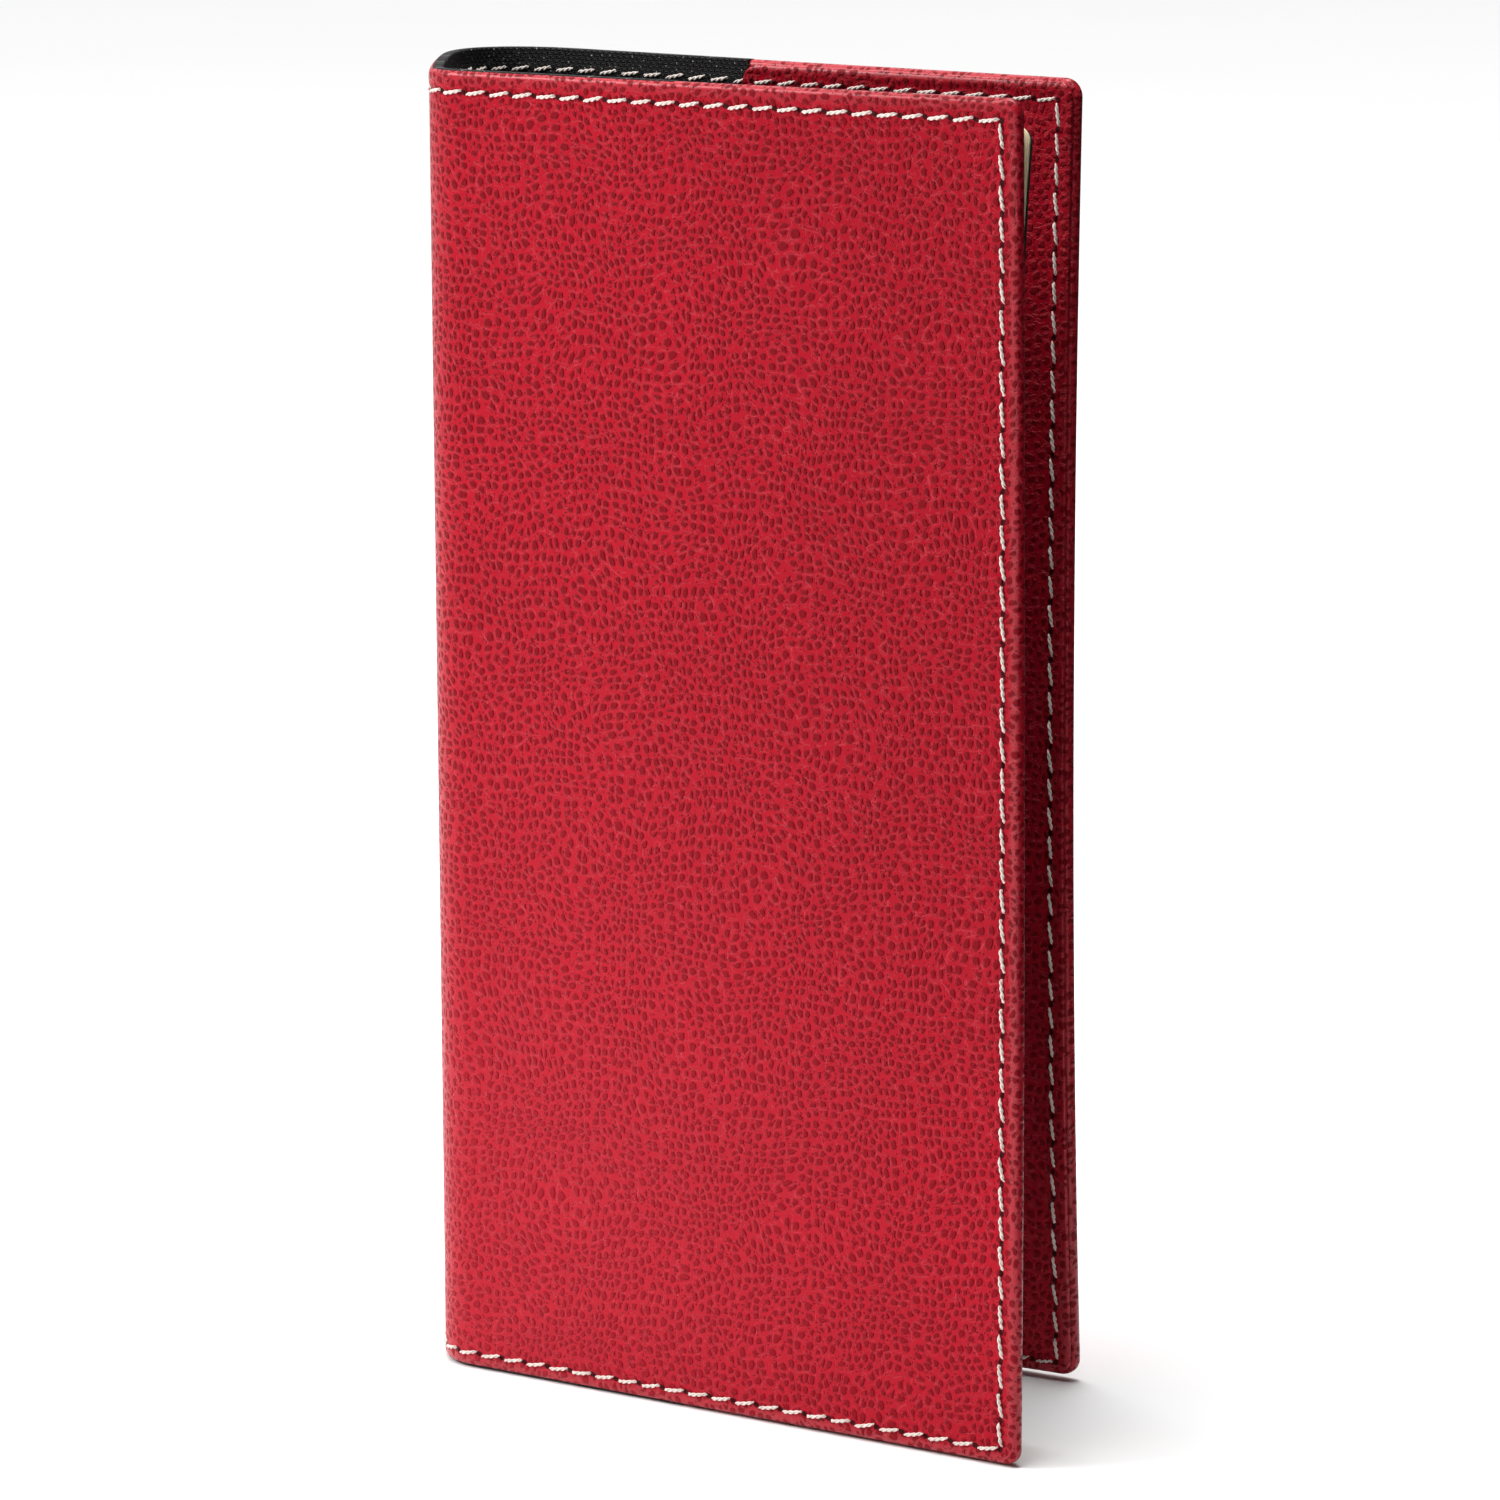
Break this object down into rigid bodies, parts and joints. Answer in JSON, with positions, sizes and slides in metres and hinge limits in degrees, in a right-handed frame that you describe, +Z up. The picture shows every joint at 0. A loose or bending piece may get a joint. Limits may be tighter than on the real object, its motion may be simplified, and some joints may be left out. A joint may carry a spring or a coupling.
{
  "type": "pocket notebook",
  "caption": "Slim pocket notebook: soft stitched cover with turned-in edges and pocket flaps, open in a loop round a sewn booklet held by the front flap.",
  "frame": {"origin": "under the middle of the bounding box, on the plane the tail edge stands on", "axes": "+Z up the spine from tail to head; the front cover is parallel to XZ, faces -Y and has its fore edge at +X"},
  "size_m": [0.1128, 0.0418, 0.176],
  "materials": {
    "red_leather": "satin",
    "black_canvas": "matte",
    "board": "matte",
    "cream_thread": "matte",
    "booklet_card": "matte",
    "paper": "matte"
  },
  "bodies": {
    "front_cover": {"front_cover_skin": "red_leather", "front_stiffener": "board", "front_lining": "black_canvas", "front_pocket_flap": "red_leather", "front_seam": "cream_thread", "booklet_front_card": "booklet_card", "booklet_spine_card": "booklet_card"},
    "spine": {"spine_skin": "red_leather", "spine_lining": "black_canvas", "spine_seam": "cream_thread", "front_fold_skin": "red_leather", "front_fold_lining": "black_canvas", "front_fold_seam": "cream_thread", "back_fold_skin": "red_leather", "back_fold_lining": "black_canvas", "back_fold_seam": "cream_thread"},
    "back_cover": {"back_cover_skin": "red_leather", "back_stiffener": "board", "back_lining": "black_canvas", "back_pocket_flap": "red_leather", "back_seam": "cream_thread"},
    "leaves_01": {"section_01": "paper"},
    "leaves_02": {"section_02": "paper"},
    "leaves_03": {"section_03": "paper"},
    "leaves_04": {"section_04": "paper"},
    "leaves_05": {"section_05": "paper"},
    "leaves_06": {"section_06": "paper"},
    "leaves_07": {"section_07": "paper"},
    "leaves_08": {"section_08": "paper"},
    "leaves_09": {"section_09": "paper"},
    "leaves_10": {"section_10": "paper"},
    "leaves_11": {"section_11": "paper"},
    "leaves_12": {"section_12": "paper"},
    "booklet_back": {"booklet_back_card": "booklet_card"}
  },
  "joints": [
    {"name": "front_fold", "type": "hinge", "parent": "front_cover", "child": "spine", "pos_m": [-0.0364, -0.01988, 0], "axis": [0, 0, 1], "range_deg": [-14, 55], "deforming": ["front_fold_skin", "front_fold_lining", "front_fold_seam"]},
    {"name": "back_fold", "type": "hinge", "parent": "spine", "child": "back_cover", "pos_m": [-0.05711, 0.01653, 0], "axis": [0, 0, 1], "range_deg": [0, 128], "deforming": ["back_fold_skin", "back_fold_lining", "back_fold_seam"]},
    {"name": "leaves_01_turn", "type": "hinge", "parent": "front_cover", "child": "leaves_01", "pos_m": [-0.03056, -0.01369, 0], "axis": [0, 0, 1], "range_deg": [0, 8.37]},
    {"name": "leaves_02_turn", "type": "hinge", "parent": "front_cover", "child": "leaves_02", "pos_m": [-0.03056, -0.01369, 0], "axis": [0, 0, 1], "range_deg": [0, 16.26]},
    {"name": "leaves_03_turn", "type": "hinge", "parent": "front_cover", "child": "leaves_03", "pos_m": [-0.03056, -0.01369, 0], "axis": [0, 0, 1], "range_deg": [0, 24.13]},
    {"name": "leaves_04_turn", "type": "hinge", "parent": "front_cover", "child": "leaves_04", "pos_m": [-0.03056, -0.01369, 0], "axis": [0, 0, 1], "range_deg": [0, 32.01]},
    {"name": "leaves_05_turn", "type": "hinge", "parent": "front_cover", "child": "leaves_05", "pos_m": [-0.03056, -0.01369, 0], "axis": [0, 0, 1], "range_deg": [0, 39.89]},
    {"name": "leaves_06_turn", "type": "hinge", "parent": "front_cover", "child": "leaves_06", "pos_m": [-0.03056, -0.01369, 0], "axis": [0, 0, 1], "range_deg": [0, 47.76]},
    {"name": "leaves_07_turn", "type": "hinge", "parent": "front_cover", "child": "leaves_07", "pos_m": [-0.03056, -0.01369, 0], "axis": [0, 0, 1], "range_deg": [0, 55.64]},
    {"name": "leaves_08_turn", "type": "hinge", "parent": "front_cover", "child": "leaves_08", "pos_m": [-0.03056, -0.01369, 0], "axis": [0, 0, 1], "range_deg": [0, 63.51]},
    {"name": "leaves_09_turn", "type": "hinge", "parent": "front_cover", "child": "leaves_09", "pos_m": [-0.03056, -0.01369, 0], "axis": [0, 0, 1], "range_deg": [0, 71.39]},
    {"name": "leaves_10_turn", "type": "hinge", "parent": "front_cover", "child": "leaves_10", "pos_m": [-0.03056, -0.01369, 0], "axis": [0, 0, 1], "range_deg": [0, 79.27]},
    {"name": "leaves_11_turn", "type": "hinge", "parent": "front_cover", "child": "leaves_11", "pos_m": [-0.03056, -0.01369, 0], "axis": [0, 0, 1], "range_deg": [0, 87.14]},
    {"name": "leaves_12_turn", "type": "hinge", "parent": "front_cover", "child": "leaves_12", "pos_m": [-0.03056, -0.01369, 0], "axis": [0, 0, 1], "range_deg": [0, 95.03]},
    {"name": "booklet_back_turn", "type": "hinge", "parent": "front_cover", "child": "booklet_back", "pos_m": [-0.03056, -0.01369, 0], "axis": [0, 0, 1], "range_deg": [0, 102.9], "deforming": ["booklet_spine_card"]}
  ],
  "couplings": [
    {"joint": "leaves_01_turn", "follows": "back_fold", "ratio": 0.0615},
    {"joint": "leaves_02_turn", "follows": "back_fold", "ratio": 0.1231},
    {"joint": "leaves_03_turn", "follows": "back_fold", "ratio": 0.1846},
    {"joint": "leaves_04_turn", "follows": "back_fold", "ratio": 0.2462},
    {"joint": "leaves_05_turn", "follows": "back_fold", "ratio": 0.3077},
    {"joint": "leaves_06_turn", "follows": "back_fold", "ratio": 0.3692},
    {"joint": "leaves_07_turn", "follows": "back_fold", "ratio": 0.4308},
    {"joint": "leaves_08_turn", "follows": "back_fold", "ratio": 0.4923},
    {"joint": "leaves_09_turn", "follows": "back_fold", "ratio": 0.5538},
    {"joint": "leaves_10_turn", "follows": "back_fold", "ratio": 0.6154},
    {"joint": "leaves_11_turn", "follows": "back_fold", "ratio": 0.6769},
    {"joint": "leaves_12_turn", "follows": "back_fold", "ratio": 0.7385},
    {"joint": "booklet_back_turn", "follows": "back_fold", "ratio": 0.8}
  ]
}
